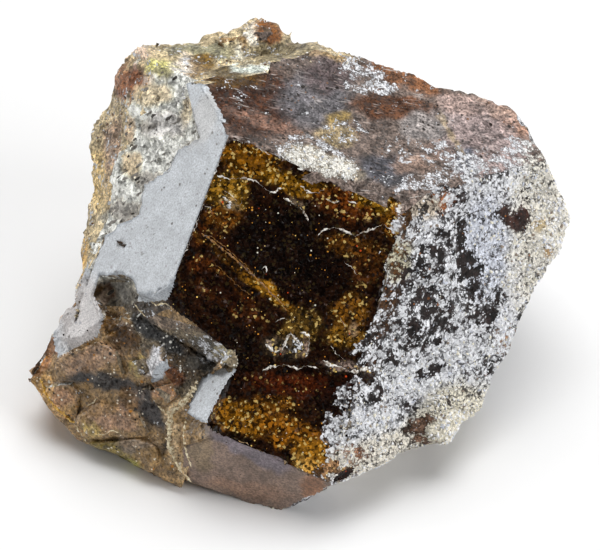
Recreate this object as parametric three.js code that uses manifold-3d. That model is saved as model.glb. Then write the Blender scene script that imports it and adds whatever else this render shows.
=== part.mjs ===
// Cassiterite: a broken group of intergrown crystals, modelled as one closed solid.
// Millimetres, +Z up. It rests on its flat broken base at Z = 0, with the origin under the middle.
import * as THREE from "three";
import { ImprovedNoise } from "three/addons/math/ImprovedNoise.js";
import { mergeVertices } from "three/addons/utils/BufferGeometryUtils.js";
import Module from "manifold-3d";

const wasm = await Module();
wasm.setup();

// Crystal faces. Each is a plane square to a direction from the heart of the main crystal.
// bearing is the angle from +X towards +Y and pitch is above the horizon, in degrees.
// distance is from the heart, and rough is the height of the lumps on the face, in millimetres.
const AMBER = { bearing: -90, pitch: 39.3, distance: 7.8, rough: 0 };
const MIRROR = { bearing: 210.7, pitch: 40, distance: 12.5, rough: 0 };
const TOP = { bearing: -3.5, pitch: 74.6, distance: 12.4, rough: 0.2 };
const CRUSTED = { bearing: -52.5, pitch: 23.6, distance: 10.2, rough: 0.5 };
const LEFT = { bearing: 185.5, pitch: 28.5, distance: 15.8, rough: 0.8 };
const RIM = { bearing: 88, pitch: 66, distance: 16.6, rough: 0.7 };
const BACK = { bearing: 115, pitch: -8, distance: 17.9, rough: 0.7 };
const BACK_RIGHT = { bearing: 72, pitch: 14.5, distance: 17.4, rough: 0.7 };
const RIGHT_END = { bearing: 25.5, pitch: 13.8, distance: 22.2, rough: 0.7 };
const UNDER_RIGHT = { bearing: 7.5, pitch: -40, distance: 16.2, rough: 0.7 };
const UNDER_FRONT = { bearing: -53, pitch: -40, distance: 16.7, rough: 0.5 };
const UNDER_LEFT = { bearing: 154.8, pitch: -30.8, distance: 15.3, rough: 0.8 };
const BASE = { bearing: 0, pitch: -90, distance: 12.6, rough: 0 };

// The mirror face is a raised layer, and this is the etched level around it.
const LAYER = 0.6;
const ETCHED = { ...MIRROR, distance: MIRROR.distance - LAYER, rough: 0.3 };
const POCKET = 0.8;

// The spur at the lower left, and the height of the steps on its front.
const SPUR_FRONT = { bearing: -119, pitch: 20.2, distance: 11.4, rough: 0.3 };
const SPUR_UNDER = { bearing: 198.4, pitch: -36.9, distance: 23.1, rough: 0.5 };
const SPUR_SOLE = { bearing: 236, pitch: -37, distance: 20.3, rough: 0.4 };
const SPUR_TIP = { bearing: 143, pitch: 10.3, distance: 13.8, rough: 0.2 };
const SPUR_RIGHT = { bearing: -13.3, pitch: -13, distance: -3.7, rough: 0.2 };
const SPUR_TOP = { bearing: 0, pitch: 90, distance: 1, rough: 0.3 };
const STEP = 0.5;

// The foot below the amber face. Its small mirror facet is a raised layer too.
const FOOT_MIRROR = { ...MIRROR, distance: 7.25 };
const FOOT_ETCHED = { ...MIRROR, distance: FOOT_MIRROR.distance - LAYER, rough: 0.25 };
const FOOT_FRONT = { bearing: -106.9, pitch: -2.6, distance: 15.4, rough: 0.12 };
const FOOT_SOLE = { bearing: 239, pitch: -56, distance: 18.5, rough: 0.3 };
const FOOT_LEFT = { bearing: 180, pitch: 0, distance: 9.8, rough: 0.3 };

// The chipped groove between the amber face and the spur: its flat upper wall, its floor and its lower end.
const GROOVE_WALL = { bearing: 242.7, pitch: -0.9, distance: 11.2, rough: 0 };
const GROOVE_FLOOR = { bearing: 256.7, pitch: 35, distance: 7.6, rough: 0.25 };
const GROOVE_END = { bearing: -29.3, pitch: -26, distance: -0.7, rough: 0.2 };

// The worn edge between the amber face and the top, and the raised right end of the top.
const WORN_EDGE = { bearing: -67.4, pitch: 61, distance: 10.86, rough: 0.15 };
const TOP_LAYER = { ...TOP, distance: TOP.distance + 0.3 };

// The view that the places below were read from: pixels right and down in a picture.
const VIEW = { pitch: 45, distance: 900, pixelsPerMm: 12, centre: [300, 275] };

// Outlines of the mirror layer, of the pocket under its lower edge, of the mirror facet on the foot,
// of the raised end of the top and of the steps on the spur.
const LAYER_OUTLINE = [
  [204, 76], [240, 137], [172, 312], [166, 300], [150, 299], [136, 295], [126, 279], [103, 276], [96, 297],
  [104, 318], [100, 340], [78, 350], [57, 358], [40, 350], [60, 290], [82, 262], [84, 243], [102, 237],
  [122, 221], [138, 214], [143, 184], [168, 170], [178, 150], [198, 138], [190, 100], [186, 84],
];
const POCKET_OUTLINE = [[98, 297], [104, 277], [126, 280], [137, 297], [152, 303], [130, 316], [106, 316]];
const FACET_OUTLINE = [[226, 364], [244, 372], [224, 424], [197, 422], [187, 413], [196, 383]];
const TOP_LAYER_OUTLINE = [[436, 80], [434, 105], [446, 140], [478, 190], [580, 160], [520, 80]];
const STEP_OUTLINES = [
  [[55, 378], [58, 360], [80, 350], [100, 341], [118, 350], [126, 374], [100, 380]],
  [[40, 400], [46, 385], [74, 382], [80, 396], [78, 414], [60, 417]],
  [[74, 424], [82, 408], [100, 402], [112, 406], [140, 411], [152, 434], [120, 438], [88, 438]],
  [[76, 450], [90, 442], [140, 438], [158, 446], [160, 460], [150, 480], [112, 470]],
  [[142, 388], [176, 382], [180, 396], [166, 404], [150, 402]],
];

// Lumps and small crystals that stand out of a face: their place in the view, half sizes across, along
// and out of the face, turn on the face in degrees, and how far their middle is sunk below it.
const LUMPS = [
  { face: RIM, at: [256, 42], half: [3.9, 2.9, 3.1], turn: 15, sunk: 1.1 },
  { face: CRUSTED, at: [434, 418], half: [3.0, 2.9, 2.6], turn: 20, sunk: 0.9 },
  { face: SPUR_FRONT, at: [158, 362], half: [0.9, 1.9, 0.9], turn: -20, sunk: 0 },
  { face: SPUR_FRONT, at: [141, 367], half: [1.0, 0.9, 0.9], turn: 0, sunk: 0.1 },
];

// Side of a block that is larger than the whole group.
const BLOCK = 80;

// Longest triangle sides on rough and on flat faces, lengths of the large and of the small lumps
// on rough faces, and the height of the lumps away from all faces.
const ROUGH_STEP = 1.7;
const FLAT_STEP = 6;
const LONG_WAVE = 5.5;
const SHORT_WAVE = 2.3;
const LOOSE_ROUGH = 0.3;

// A point this near to a face lies on it, a shorter side is closed up, and a lower triangle is thin.
const NEAR = 0.03;

// Two triangles are level when the cosine of the angle between them is above this.
const LEVEL = 0.9999;

function direction(face) {
  const bearing = THREE.MathUtils.degToRad(face.bearing);
  const pitch = THREE.MathUtils.degToRad(face.pitch);
  const level = Math.cos(pitch);
  return new THREE.Vector3(level * Math.cos(bearing), level * Math.sin(bearing), Math.sin(pitch));
}

function turnTo(face) {
  return new THREE.Quaternion().setFromUnitVectors(new THREE.Vector3(0, 0, 1), direction(face));
}

function solid(geometry) {
  const bare = geometry.clone();
  bare.deleteAttribute("normal");
  bare.deleteAttribute("uv");
  const merged = mergeVertices(bare, 1e-4);
  const vertProperties = merged.attributes.position.array;
  const triVerts = new Uint32Array(merged.index.array);
  return new wasm.Manifold(new wasm.Mesh({ numProp: 3, vertProperties, triVerts }));
}

// Everything past a face's plane.
function beyond(face) {
  const box = new THREE.BoxGeometry(4 * BLOCK, 4 * BLOCK, 2 * BLOCK);
  box.translate(0, 0, face.distance + BLOCK);
  return solid(box.applyQuaternion(turnTo(face)));
}

// A block with a flat cut along each face.
function crystal(...faces) {
  const block = solid(new THREE.BoxGeometry(BLOCK, BLOCK, BLOCK));
  return faces.reduce((body, face) => body.subtract(beyond(face)), block);
}

// Where the line of sight through a picture point meets a face.
function onFace(face, [right, down]) {
  const pitch = THREE.MathUtils.degToRad(VIEW.pitch);
  const up = new THREE.Vector3(0, Math.sin(pitch), Math.cos(pitch));
  const eye = new THREE.Vector3(0, -Math.cos(pitch), Math.sin(pitch)).multiplyScalar(VIEW.distance);
  const seen = new THREE.Vector3((right - VIEW.centre[0]) / VIEW.pixelsPerMm, 0, 0);
  seen.addScaledVector(up, (VIEW.centre[1] - down) / VIEW.pixelsPerMm);
  const plane = new THREE.Plane(direction(face), -face.distance);
  const ray = new THREE.Ray(eye, seen.sub(eye).normalize());
  return ray.intersectPlane(plane, new THREE.Vector3());
}

// A straight-sided slab through a face, with the outline as seen in the view.
function slab(face, outline, above, below) {
  const flat = turnTo(face).invert();
  const points = outline.map((point) => onFace(face, point).applyQuaternion(flat));
  const shape = new THREE.Shape(points.map((p) => new THREE.Vector2(p.x, p.y)));
  const geometry = new THREE.ExtrudeGeometry(shape, { depth: above + below, bevelEnabled: false });
  geometry.translate(0, 0, face.distance - below);
  return solid(geometry.applyQuaternion(turnTo(face)));
}

// A faceted ball, stretched and turned on its face.
function lump({ face, at, half, turn, sunk }) {
  const ball = new THREE.IcosahedronGeometry(1, 0);
  ball.scale(...half);
  ball.rotateZ(THREE.MathUtils.degToRad(turn));
  ball.applyQuaternion(turnTo(face));
  const centre = onFace(face, at).addScaledVector(direction(face), -sunk);
  return solid(ball.translate(centre.x, centre.y, centre.z));
}

// The main crystal with its raised layers, the spur with its steps, and the foot.
const OUTER = [LEFT, RIM, BACK, BACK_RIGHT, RIGHT_END, UNDER_RIGHT, UNDER_FRONT, UNDER_LEFT, BASE];
const SOLES = [SPUR_UNDER, SPUR_SOLE, FOOT_FRONT, FOOT_SOLE];
const main = crystal(AMBER, ETCHED, CRUSTED, SPUR_FRONT, WORN_EDGE, TOP, ...OUTER, ...SOLES);
const layerBody = crystal(AMBER, MIRROR, CRUSTED, SPUR_FRONT, WORN_EDGE, TOP, ...OUTER);
const layer = layerBody.intersect(slab(MIRROR, LAYER_OUTLINE, 1, 3));
const topBody = crystal(AMBER, CRUSTED, WORN_EDGE, TOP_LAYER, ...OUTER);
const topLayer = topBody.intersect(slab(TOP, TOP_LAYER_OUTLINE, 2, 2));
const SPUR = [SPUR_FRONT, SPUR_UNDER, SPUR_SOLE, SPUR_TIP, SPUR_RIGHT, SPUR_TOP];
const spur = crystal(...SPUR, ETCHED, AMBER, BASE, BACK, BACK_RIGHT);
const FOOT = [AMBER, FOOT_FRONT, FOOT_SOLE, FOOT_LEFT, CRUSTED, WORN_EDGE, TOP, ...OUTER];
const foot = crystal(...FOOT, FOOT_ETCHED);
const facet = crystal(...FOOT, FOOT_MIRROR).intersect(slab(FOOT_MIRROR, FACET_OUTLINE, 1, 3));
const sight = { bearing: -90, pitch: VIEW.pitch, distance: 0 };
const facetRoom = slab(sight, FACET_OUTLINE, BLOCK, BLOCK).intersect(beyond(FOOT_MIRROR));
const groove = beyond(GROOVE_WALL).intersect(beyond(GROOVE_FLOOR)).subtract(beyond(GROOVE_END));
const pocket = slab(ETCHED, POCKET_OUTLINE, 5, POCKET);
const stepBody = crystal(SPUR_UNDER, SPUR_SOLE, SPUR_TIP, BASE);

let whole = main.add(layer).add(topLayer).add(spur).subtract(groove).subtract(pocket);
whole = whole.add(foot).subtract(facetRoom).add(facet);
STEP_OUTLINES.forEach((outline, i) => {
  const height = STEP * (1 - 0.15 * (i % 3));
  whole = whole.add(slab(SPUR_FRONT, outline, height, STEP).intersect(stepBody));
});
LUMPS.forEach((one) => {
  whole = whole.add(lump(one));
});

const MAIN = [AMBER, MIRROR, ETCHED, CRUSTED, TOP, TOP_LAYER, WORN_EDGE, ...OUTER];
const GROOVE = [GROOVE_WALL, GROOVE_FLOOR, GROOVE_END];
const FACES = [...MAIN, ...SPUR, ...FOOT, FOOT_MIRROR, FOOT_ETCHED, ...GROOVE];
const PLANES = FACES.map((face) => ({ ...face, outward: direction(face) }));

// The height of the lumps at a point: that of the flattest face it lies on.
function roughAt(point) {
  const on = PLANES.filter((plane) => Math.abs(plane.outward.dot(point) - plane.distance) < NEAR);
  return on.length ? Math.min(...on.map((plane) => plane.rough)) : LOOSE_ROUGH;
}

// Corner points and triangles of a body, with its shortest sides closed up.
function skin(body) {
  const { vertProperties, triVerts } = body.getMesh();
  const count = vertProperties.length / 3;
  const corner = (_, i) => new THREE.Vector3().fromArray(vertProperties, 3 * i);
  const points = Array.from({ length: count }, corner);
  const stand = points.map((_, i) => i);
  const root = (i) => (stand[i] === i ? i : root(stand[i]));
  const faces = [];
  for (let i = 0; i < triVerts.length; i += 3) faces.push([triVerts[i], triVerts[i + 1], triVerts[i + 2]]);
  for (const face of faces) {
    for (let k = 0; k < 3; k += 1) {
      const [a, b] = [root(face[k]), root(face[(k + 1) % 3])];
      if (points[a].distanceTo(points[b]) < NEAR) stand[Math.max(a, b)] = Math.min(a, b);
    }
  }
  const closed = faces.map((face) => face.map(root));
  return { points, faces: closed.filter(([a, b, c]) => a !== b && b !== c && c !== a) };
}

function normalOf(points, [a, b, c]) {
  return new THREE.Triangle(points[a], points[b], points[c]).getNormal(new THREE.Vector3());
}

function angleAt(points, tip, a, b) {
  return points[a].clone().sub(points[tip]).angleTo(points[b].clone().sub(points[tip]));
}

function thin(points, face) {
  const sides = face.map((corner, k) => points[corner].distanceTo(points[face[(k + 1) % 3]]));
  const area = new THREE.Triangle(...face.map((corner) => points[corner])).getArea();
  return (2 * area) / Math.max(...sides) < NEAR;
}

// Turns the side shared by two level triangles to the other corners when that makes them less pointed.
function relax({ points, faces }) {
  for (let round = 0; round < 12; round += 1) {
    const owner = new Map();
    faces.forEach((face, i) => face.forEach((a, k) => owner.set(`${a} ${face[(k + 1) % 3]}`, i)));
    const moved = new Set();
    for (let i = 0; i < faces.length; i += 1) {
      for (let k = 0; k < 3 && !moved.has(i); k += 1) {
        const [a, b, c] = [0, 1, 2].map((step) => faces[i][(k + step) % 3]);
        const j = owner.get(`${b} ${a}`);
        if (j === undefined || moved.has(j)) continue;
        const d = faces[j].find((corner) => corner !== a && corner !== b);
        if (owner.has(`${c} ${d}`) || owner.has(`${d} ${c}`)) continue;
        if (angleAt(points, c, a, b) + angleAt(points, d, a, b) < Math.PI + 0.001) continue;
        const level = normalOf(points, faces[i]).dot(normalOf(points, faces[j])) > LEVEL;
        if (!level && !thin(points, faces[i]) && !thin(points, faces[j])) continue;
        faces[i] = [a, d, c];
        faces[j] = [d, b, c];
        owner.set(`${c} ${d}`, j).set(`${d} ${c}`, i);
        moved.add(i).add(j);
      }
    }
    if (!moved.size) return;
  }
}

// Halves each side that is too long for the roughness at its middle.
function halve(mesh) {
  const { points } = mesh;
  const middles = new Map();
  const middleOf = (a, b) => {
    const key = a < b ? `${a} ${b}` : `${b} ${a}`;
    if (!middles.has(key)) {
      const middle = points[a].clone().add(points[b]).multiplyScalar(0.5);
      const limit = roughAt(middle) > 0.1 ? ROUGH_STEP : FLAT_STEP;
      const long = points[a].distanceTo(points[b]) > limit;
      middles.set(key, long ? points.push(middle) - 1 : -1);
    }
    return middles.get(key);
  };
  mesh.faces = mesh.faces.flatMap((face) => {
    const cut = face.map((corner, k) => middleOf(corner, face[(k + 1) % 3]));
    const count = cut.filter((m) => m >= 0).length;
    if (count === 0) return [face];
    if (count === 3) return [cut, ...face.map((corner, k) => [corner, cut[k], cut[(k + 2) % 3]])];
    const first = cut.findIndex((m, k) => m >= 0 && (count === 1 || cut[(k + 1) % 3] >= 0));
    const [a, b, c] = [0, 1, 2].map((step) => face[(first + step) % 3]);
    const [ab, bc] = [cut[first], cut[(first + 1) % 3]];
    return count === 1 ? [[a, ab, c], [ab, b, c]] : [[ab, b, bc], [a, ab, bc], [a, bc, c]];
  });
  return [...middles.values()].some((m) => m >= 0);
}

const noise = new ImprovedNoise();

function waves(point, length) {
  return noise.noise(point.x / length, point.y / length, point.z / length);
}

// Moves the points of rough faces in or out along their normals, and none below the base.
function roughen(geometry) {
  const { position, normal } = geometry.attributes;
  for (let i = 0; i < position.count; i += 1) {
    const point = new THREE.Vector3().fromBufferAttribute(position, i);
    const outward = new THREE.Vector3().fromBufferAttribute(normal, i);
    const height = roughAt(point) * (1.3 * waves(point, LONG_WAVE) + 0.7 * waves(point, SHORT_WAVE));
    point.addScaledVector(outward, height);
    position.setXYZ(i, point.x, point.y, Math.max(point.z, -BASE.distance));
  }
}

const mesh = skin(whole);
relax(mesh);
while (halve(mesh)) relax(mesh);

const corners = mesh.faces.flat().map((i) => mesh.points[i]);
const geometry = mergeVertices(new THREE.BufferGeometry().setFromPoints(corners), 1e-4);
geometry.computeVertexNormals();
roughen(geometry);
geometry.computeVertexNormals();
geometry.computeBoundingBox();
const box = geometry.boundingBox;
const middle = box.getCenter(new THREE.Vector3());
geometry.translate(-middle.x, -middle.y, -box.min.z);

const finish = new THREE.MeshStandardMaterial({ color: 0x3a2414, roughness: 0.35, metalness: 0 });
const stone = new THREE.Mesh(geometry, finish);
stone.name = "cassiterite";
const part = new THREE.Group();
part.add(stone);
export default part;
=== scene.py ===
import math

import bmesh
import bpy
import numpy as np
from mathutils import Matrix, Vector
from mathutils.bvhtree import BVHTree


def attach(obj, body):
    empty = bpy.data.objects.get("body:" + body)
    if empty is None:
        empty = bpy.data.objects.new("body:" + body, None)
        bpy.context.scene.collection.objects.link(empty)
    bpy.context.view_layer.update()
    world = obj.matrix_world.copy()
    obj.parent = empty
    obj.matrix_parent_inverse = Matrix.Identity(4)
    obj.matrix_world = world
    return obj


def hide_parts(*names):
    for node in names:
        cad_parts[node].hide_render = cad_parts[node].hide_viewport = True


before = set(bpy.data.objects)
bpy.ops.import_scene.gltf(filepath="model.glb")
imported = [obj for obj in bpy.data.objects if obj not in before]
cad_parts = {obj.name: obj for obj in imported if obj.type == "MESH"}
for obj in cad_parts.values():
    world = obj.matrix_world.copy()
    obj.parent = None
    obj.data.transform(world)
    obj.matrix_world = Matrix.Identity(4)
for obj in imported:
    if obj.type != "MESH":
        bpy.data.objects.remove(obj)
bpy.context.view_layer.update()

# The heart of the main crystal, from which its faces are measured, and the directions of the picture.
HEART = np.array([0.0000937, -0.0021258, 0.0126])
SLANT = math.sqrt(0.5)
RIGHT = np.array([1.0, 0.0, 0.0])
UP = np.array([0.0, SLANT, SLANT])
AWAY = np.array([0.0, SLANT, -SLANT])
VIEW_DISTANCE = 0.9
PIXELS_PER_MM = 12.0
PICTURE_WIDTH = 600
MIDDLE_X, MIDDLE_Y = 300, 275
MM = 0.001

# Sides of the triangles in millimetres where the picture looks, and round the back.
FINE_SIDE = 0.27
COARSE_SIDE = 0.7

# Size and height of the lumps and of the grit, depth of the chipped edges, and spacing of a line's points,
# all in millimetres but the last, which is in pixels.
LUMPS = (1.5, 0.6)
GRIT = (0.5, 0.45)
CHIP_DEPTH = 0.28
LINE_STEP = 1.6
GRAIN_COUNT = 8000
SMOOTH_BELOW = math.radians(28)
SENSOR_WIDTH = 36

# Flat faces: bearing and pitch in degrees, distance from the heart in millimetres, finish, lumps and grit.
FACES = {
    "amber": (-90, 39.3, 7.8, "amber_glass", 0.0, 0.0),
    "mirror": (210.7, 40, 12.5, "mirror_face", 0.0, 0.0),
    "etched": (210.7, 40, 11.9, "etched_face", 0.3, 1.1),
    "top": (-3.5, 74.6, 12.4, "hazy_top", 0.2, 0.22),
    "top_layer": (-3.5, 74.6, 12.7, "hazy_top", 0.2, 0.22),
    "worn_edge": (-67.4, 61, 10.86, "hazy_top", 0.15, 0.3),
    "crusted": (-52.5, 23.6, 10.2, "crusted_side", 0.5, 0.45),
    "left": (185.5, 28.5, 15.8, "tan_rind", 0.8, 0.75),
    "rim": (88, 66, 16.6, "tan_rind", 0.7, 0.6),
    "back": (115, -8, 17.9, "broken_back", 1.4, 0.8),
    "back_right": (72, 14.5, 17.4, "broken_back", 1.4, 0.8),
    "right_end": (25.5, 13.8, 22.2, "crusted_side", 0.5, 0.3),
    "under_right": (7.5, -40, 16.2, "crusted_side", 0.5, 0.3),
    "under_front": (-53, -40, 16.7, "crusted_side", 0.5, 0.3),
    "under_left": (154.8, -30.8, 15.3, "broken_back", 1.2, 0.7),
    "base": (0, -90, 12.6, "broken_back", 0.0, 0.0),
    "spur_front": (-119, 20.2, 11.4, "spur_brown", 0.35, 0.35),
    "spur_step": (-119, 20.2, 12.0, "spur_brown", 0.25, 0.25),
    "spur_under": (198.4, -36.9, 23.1, "spur_brown", 0.5, 0.3),
    "spur_sole": (236, -37, 20.3, "spur_brown", 0.4, 0.3),
    "spur_tip": (143, 10.3, 13.8, "broken_back", 0.9, 0.6),
    "spur_right": (-13.3, -13, -3.7, "spur_brown", 0.3, 0.3),
    "foot_mirror": (210.7, 40, 7.25, "mirror_face", 0.0, 0.0),
    "foot_etched": (210.7, 40, 6.65, "spur_brown", 0.3, 0.4),
    "foot_front": (-106.9, -2.6, 15.4, "foot_bevel", 0.1, 0.08),
    "foot_sole": (239, -56, 18.5, "foot_bevel", 0.3, 0.3),
    "foot_left": (180, 0, 9.8, "spur_brown", 0.3, 0.3),
    "groove_wall": (242.7, -0.9, 11.2, "groove_grey", 0.05, 0.1),
    "groove_floor": (256.7, 35, 7.6, "groove_grey", 0.8, 1.5),
}
FINISHES = [
    "amber_glass", "mirror_face", "etched_face", "hazy_top", "crusted_side",
    "tan_rind", "broken_back", "spur_brown", "foot_bevel", "groove_grey",
]

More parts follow.
